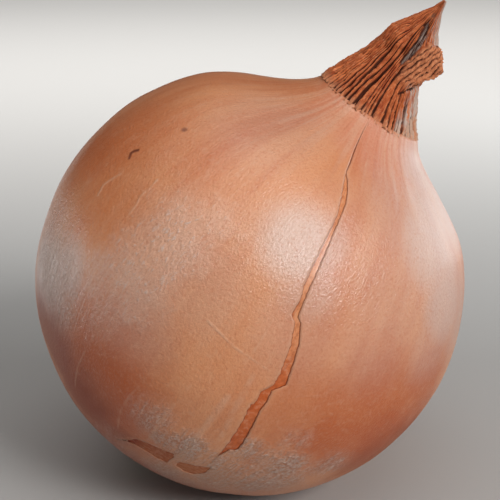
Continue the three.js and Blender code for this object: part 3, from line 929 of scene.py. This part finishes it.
def skin_finish(outline, colours):
    f = Finish("papery_skin", roughness=0.35, IOR=1.5, Specular_IOR_Level=0.8)
    here, grain = f.place(), f.vector("grain")
    latitude = f.part(grain, "Z")
    deep_skin, pale_skin = colours.skin_deep, colours.skin_pale
    broad = f.fibres(grain, 0.35, 2.3, 3, 0.55)
    streaks = f.fibres(grain, 0.1, 13, 3, 0.6)
    fine_streaks = f.fibres(grain, 0.06, 46, 3, 0.65)
    cloud = f.noise(here, 70, 4, 0.6)
    wobble = f.math("SUBTRACT", f.noise(here, 260, 4, 0.65), 0.5)

    # The skin's own colour, with its streaks, deeper patches and the blush under the neck
    base = f.layers(
        colours.skin,
        (broad, 0.4, 0.68, 0.6, deep_skin),
        (streaks, 0.48, 0.75, 0.3, deep_skin),
        (streaks, 0.48, 0.28, 0.16, pale_skin),
        (fine_streaks, 0.55, 0.8, 0.12, pale_skin),
        (fine_streaks, 0.45, 0.25, 0.14, deep_skin),
    )
    # Deeper brown patches: the skin's own blotches, and painted shade on the left side
    base = f.mix(patches(f, here, outline, DEEP_PATCHES, 9, wobble), base, deep_skin)
    blush = patches(f, here, outline, BLUSH_PATCHES, 6, wobble)
    base = f.mix(f.times(blush, 0.8), base, colours.blush)
    near_neck = f.step(latitude, 0.75, 1.15)
    for value, low, high, strength, over in (
        (fine_streaks, 0.5, 0.68, 0.25, pale_skin),
        (streaks, 0.5, 0.66, 0.5, pale_skin),
        (streaks, 0.48, 0.36, 0.4, deep_skin),
    ):
        base = f.mix(f.times(f.step(value, low, high, 0.0, strength), near_neck), base, over)

    # The thin veil with its wrinkles, painted sheen where highlights fall and along the veil's wrinkle
    # crests, and fine speckles
    veil = patches(f, here, outline, VEIL_PATCHES, 9, wobble)
    thin = f.step(cloud, 0.25, 0.6, 0.55, 1.0)
    base = f.mix(f.times(f.times(veil, thin), 0.8), base, colours.veil)
    folds = f.fibres(grain, 0.5, 62, 4, 0.65, 0.4)
    # Pale lines on the veil's wrinkle crests: painted highlights
    base = f.mix(f.times(veil, f.step(folds, 0.54, 0.66, 0.0, 0.5)), base, colours.sheen)
    # Pale patches where the highlights fall: painted sheen
    sheen = patches(f, here, outline, SHEEN_PATCHES)
    base = f.mix(f.times(sheen, 0.55), base, colours.sheen)
    speckle = f.noise(here, 2200, 2, 0.6)
    base = f.layers(
        base,
        (f.noise(here, 780, 2, 0.5), 0.55, 0.72, 0.16, pale_skin),
        (speckle, 0.5, 0.7, 0.14, pale_skin),
        (speckle, 0.5, 0.3, 0.24, deep_skin),
    )

    # Brown towards the roots, painted shade on the lower side, and dry dust over it
    # Painted shade: brown patches on the lower side
    shade = patches(f, here, outline, SHADE_PATCHES, 6, wobble)
    roots = f.times(f.step(latitude, -0.62, -1.0), 0.75)
    base = f.mix(f.math("MAXIMUM", roots, f.times(shade, 0.75)), base, colours.root_brown_and_shade)
    flakes = f.fibres(grain, 0.7, 85, 4, 0.7, 0.8)
    dust = patches(f, here, outline, DUST_PATCHES, 7, wobble)
    dust = f.times(dust, f.step(flakes, 0.34, 0.56, 0.25, 1.0))
    dust = f.times(dust, f.step(fine_streaks, 0.38, 0.58, 0.45, 1.0))
    pits = f.noise(here, 1700, 3, 0.7)
    base = f.mix(f.times(dust, f.step(pits, 0.36, 0.6, 0.25, 1.0)), base, colours.dust)

    # Scuffs, dark nicks and the pale torn edges
    broken = f.step(f.noise(here, 700, 2), 0.3, 0.55, 0.35, 1.0)
    scuffs = f.times(strokes(f, here, outline, PALE_STROKES), broken)
    base = f.mix(scuffs, base, pale_skin)
    base = f.mix(strokes(f, here, outline, DARK_STROKES), base, colours.mark)
    base = f.mix(f.times(f.value("edge"), 0.3), base, pale_skin)
    f.set("Base Color", base)

    height = f.plus(f.fibres(grain, 0.6, 105, 3, 0.6, 0.4), f.noise(here, 2500, 2, 0.6), 0.7)
    height = f.plus(height, fine_streaks, 0.35)
    height = f.plus(height, f.times(folds, veil), 2.8)
    height = f.plus(height, f.times(flakes, dust), 2.2)
    height = f.plus(height, f.times(pits, dust), 2.0)
    height = f.plus(height, scuffs, 0.8)
    f.set("Normal", f.bump(height, 0.11 * MM))
    rough = f.plus(f.step(cloud, 0.3, 0.7, 0.29, 0.37), dust, 0.15)
    rough = f.plus(rough, shade, 0.3)
    f.set("Roughness", f.plus(rough, veil, 0.08))
    return f.material


def inner_finish(colours):
    f = Finish("moist_inner_skin", roughness=0.3, IOR=1.5, Specular_IOR_Level=0.45)
    here, grain = f.place(), f.vector("grain")
    latitude = f.part(grain, "Z")
    veins = f.fibres(grain, 0.05, 60, 3, 0.6)
    cloud = f.noise(here, 160, 3)
    mottle = f.noise(here, 1400, 3, 0.6)
    base = f.mix(f.step(latitude, -0.06, 0.32), colours.inner, colours.skin)
    base = f.mix(f.step(latitude, -0.45, -0.62), base, colours.inner_deep)
    # The right-hand tear beside the roots is worn paler
    worn = f.times(f.step(latitude, -0.55, -0.6), f.step(f.part(grain, "X"), -0.24, -0.14, 0.0, 0.4))
    base = f.layers(
        f.mix(worn, base, colours.skin),
        (veins, 0.42, 0.7, 0.6, colours.inner_vein),
        (cloud, 0.45, 0.7, 0.3, colours.skin),
        (mottle, 0.5, 0.66, 0.3, colours.skin_pale),
        (mottle, 0.48, 0.36, 0.25, colours.inner_deep),
        # Painted shade in the narrow gap under the split's edges, in the dark nick colour
        (f.value("gap_shade"), 0.22, 0.05, 0.65, colours.mark),
    )
    f.set("Base Color", base)
    f.set("Normal", f.bump(f.plus(veins, f.noise(here, 900, 3), 0.4), 0.08 * MM, 0.8))
    dry = f.step(latitude, -0.45, -0.62, 0.0, 0.45)
    f.set("Roughness", f.math("ADD", f.step(cloud, 0.3, 0.7, 0.26, 0.36), dry))
    return f.material


def leaf_finish(colours):
    f = Finish("dry_leaf", roughness=0.8, IOR=1.4)
    here, grain = f.place(), f.vector("grain")
    brown, pale, dark = colours.leaf_brown, colours.leaf_pale, colours.leaf_shade
    fibres = f.fibres(grain, 0.25, 55, 4, 0.65, 0.3)
    strands = f.fibres(grain, 0.3, 20, 3, 0.6, 0.2)
    blotch = f.noise(here, 420, 4, 0.6)
    speck = f.noise(here, 1500, 3, 0.6)
    base = f.layers(colours.leaf, (strands, 0.4, 0.68, 1.0, brown), (blotch, 0.45, 0.7, 0.5, brown))
    base = f.mix(f.times(f.step(fibres, 0.5, 0.75), 0.5), base, pale)
    base = f.mix(f.times(f.value("lobe"), 0.55), base, pale)
    base = f.layers(base, (speck, 0.5, 0.66, 0.4, brown), (speck, 0.44, 0.34, 0.4, pale))
    # Grey dust on the weathered side, and the paler crumbling hem
    dust = f.times(f.value("dust"), f.step(strands, 0.36, 0.52, 0.15, 1.0))
    base = f.mix(f.times(dust, 0.9), base, colours.leaf_dust)
    hem = f.step(f.plus(f.value("above_lip"), blotch, -2.2), 0.9, -0.9)
    hem = f.math("MAXIMUM", hem, f.value("step"))
    base = f.mix(f.times(hem, 0.45), base, colours.leaf_tan)
    # Painted shade in the grooves and creases, and grey fibres in the deep fold
    ash = f.times(f.step(strands, 0.46, 0.58, 0.0, 0.75), f.value("ash"))
    ash = f.mix(ash, dark, colours.leaf_dust)
    base = f.layers(
        base, (f.value("groove"), 0.25, 0.85, 0.93, dark), (f.value("crease_shade"), 0.25, 0.7, 0.92, ash)
    )
    f.set("Base Color", base)
    f.set("Normal", f.bump(f.plus(fibres, speck, 0.5), 0.2 * MM))
    return f.material


def root_finish(colours):
    f = Finish("dry_root", roughness=0.9)
    mottle = f.noise(f.place(), 900, 3, 0.6)
    # Dark where the tone is low: at each root's base this is painted shade between the roots, and on the
    # plate it is the plate's own rough tone
    base = f.mix(f.step(f.value("tone"), 0.1, 0.75), colours.root_dark, colours.root)
    base = f.mix(f.times(f.step(mottle, 0.5, 0.75), 0.4), base, colours.root_dark)
    f.set("Base Color", base)
    f.set("Normal", f.bump(mottle, 0.15 * MM, 0.8))
    return f.material


# ---- Stage ----


def aim(thing, target):
    thing.rotation_euler = (Vector(target) - thing.location).to_track_quat("-Z", "Y").to_euler()


def soft_light(name, target, azimuth, elevation, distance, width, height, power, tint=(1, 1, 1)):
    """A rectangular light seen from the target at that azimuth (0 at the front, growing to the right)."""
    data = bpy.data.lights.new(name, "AREA")
    data.shape = "RECTANGLE"
    data.size, data.size_y = width, height
    data.energy = power
    data.color = tint
    light = bpy.data.objects.new(name, data)
    bpy.context.scene.collection.objects.link(light)
    a, e = math.radians(azimuth), math.radians(elevation)
    way = Vector((math.sin(a) * math.cos(e), -math.cos(a) * math.cos(e), math.sin(e)))
    light.location = Vector(target) + way * distance
    aim(light, target)
    return light


def build_stage(sizes, colours, studio):
    scene = bpy.context.scene
    outline = Outline(sizes)
    half = studio.floor_size / 2
    floor = new_piece(
        "floor", [(-half, -half, 0), (half, -half, 0), (half, half, 0), (-half, half, 0)], [(0, 1, 2, 3)]
    )
    finish = Finish("pale_floor", roughness=0.9)
    finish.shader.inputs["Base Color"].default_value = (*colours.floor, 1)
    finish.shader.inputs["Specular IOR Level"].default_value = 0.2
    floor.data.materials.append(finish.material)

    world = bpy.data.worlds.new("room")
    world.use_nodes = True
    background = world.node_tree.nodes["Background"]
    background.inputs["Color"].default_value = (1, 0.985, 0.97, 1)
    background.inputs["Strength"].default_value = studio.fill
    scene.world = world

    # Each light: azimuth, elevation, distance, width, height and power
    middle = outline.middle
    cool = (0.86, 0.95, 1)
    soft_light("key_light", middle, 38, 32, 0.9, 0.3, 0.3, studio.key_power)
    soft_light("top_light", middle, -10, 75, 1.0, 1.2, 1.2, studio.top_power)
    soft_light("back_light", (0, 1.1, 0), 0, 29, 0.92, 1.2, 0.3, studio.back_power)
    soft_light("right_panel", middle, 122, 2, 0.34, 0.36, 0.09, studio.side_power, cool)
    soft_light("left_panel", middle, -110, -3, 0.3, 0.16, 0.038, studio.left_power, cool)

    camera_data = bpy.data.cameras.new("camera")
    camera_data.lens = studio.lens
    camera_data.sensor_width = 36
    camera_data.clip_start, camera_data.clip_end = 0.01, 20
    camera = bpy.data.objects.new("camera", camera_data)
    scene.collection.objects.link(camera)
    e = studio.elevation
    ahead = Vector((0, math.cos(e), -math.sin(e)))
    up = Vector((0, math.sin(e), math.cos(e)))
    aside = Vector((studio.shift_right, 0, 0))
    camera.location = middle - ahead * studio.distance + up * studio.shift_up - aside
    camera.rotation_euler = (math.pi / 2 - e, 0, 0)
    scene.camera = camera
    scene.view_settings.view_transform = "Standard"


# ---- Operators ----


class PieceBuilder:
    """What the piece operators share: each one adds its pieces for the sizes and colours in the panel."""

    def execute(self, context):
        self.build(Outline(context.scene.onion_sizes), context.scene.onion_colours)
        return {"FINISHED"}


class BuildSkin(PieceBuilder, bpy.types.Operator):
    """Builds the papery skin with its split and tears"""

    bl_idname = "onion.build_skin"
    bl_label = "Papery skin"

    def build(self, outline, colours):
        finish_piece(skin_piece(outline), "outer_skin", skin_finish(outline, colours))


class BuildBulb(PieceBuilder, bpy.types.Operator):
    """Builds the bulb that shows through the split"""

    bl_idname = "onion.build_bulb"
    bl_label = "Bulb"

    def build(self, outline, colours):
        finish_piece(bulb_piece(outline), "bulb", inner_finish(colours))


class BuildNeck(PieceBuilder, bpy.types.Operator):
    """Builds the withered neck with its ridges, fold and lobe"""

    bl_idname = "onion.build_neck"
    bl_label = "Dry neck"

    def build(self, outline, colours):
        finish_piece(neck_piece(outline), "dry_neck", leaf_finish(colours))


class BuildRoots(PieceBuilder, bpy.types.Operator):
    """Builds the root plate and its dry roots"""

    bl_idname = "onion.build_roots"
    bl_label = "Root plate and roots"

    def build(self, outline, colours):
        material = root_finish(colours)
        for piece in (root_plate(outline), dry_roots(outline)):
            finish_piece(piece, "root_plate", material)


class BuildStage(bpy.types.Operator):
    """Builds the floor, the soft lights and the camera"""

    bl_idname = "onion.build_stage"
    bl_label = "Stage"

    def execute(self, context):
        scene = context.scene
        build_stage(scene.onion_sizes, scene.onion_colours, scene.onion_studio)
        return {"FINISHED"}


OPERATORS = (BuildStage, BuildSkin, BuildBulb, BuildNeck, BuildRoots)


class OnionPanel(bpy.types.Panel):
    """Lists the onion's pieces, sizes and colours"""

    bl_label = "Onion"
    bl_idname = "ONION_PT_panel"
    bl_space_type = "VIEW_3D"
    bl_region_type = "UI"
    bl_category = "Onion"

    def draw(self, context):
        layout = self.layout
        for operator in OPERATORS:
            layout.operator(operator.bl_idname)
        for group in (context.scene.onion_sizes, context.scene.onion_colours, context.scene.onion_studio):
            box = layout.box()
            for name in group.__annotations__:
                box.prop(group, name)


GROUPS = {"onion_sizes": OnionSizes, "onion_colours": OnionColours, "onion_studio": OnionStudio}
CLASSES = (*GROUPS.values(), *OPERATORS, OnionPanel)


def register():
    for cls in CLASSES:
        bpy.utils.register_class(cls)
    for name, group in GROUPS.items():
        setattr(bpy.types.Scene, name, bpy.props.PointerProperty(type=group))


def unregister():
    for name in GROUPS:
        delattr(bpy.types.Scene, name)
    for cls in reversed(CLASSES):
        bpy.utils.unregister_class(cls)


def main():
    register()
    bpy.ops.onion.build_stage()
    bpy.ops.onion.build_skin()
    bpy.ops.onion.build_bulb()
    bpy.ops.onion.build_neck()
    bpy.ops.onion.build_roots()
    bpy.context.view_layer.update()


if __name__ == "__main__":
    main()
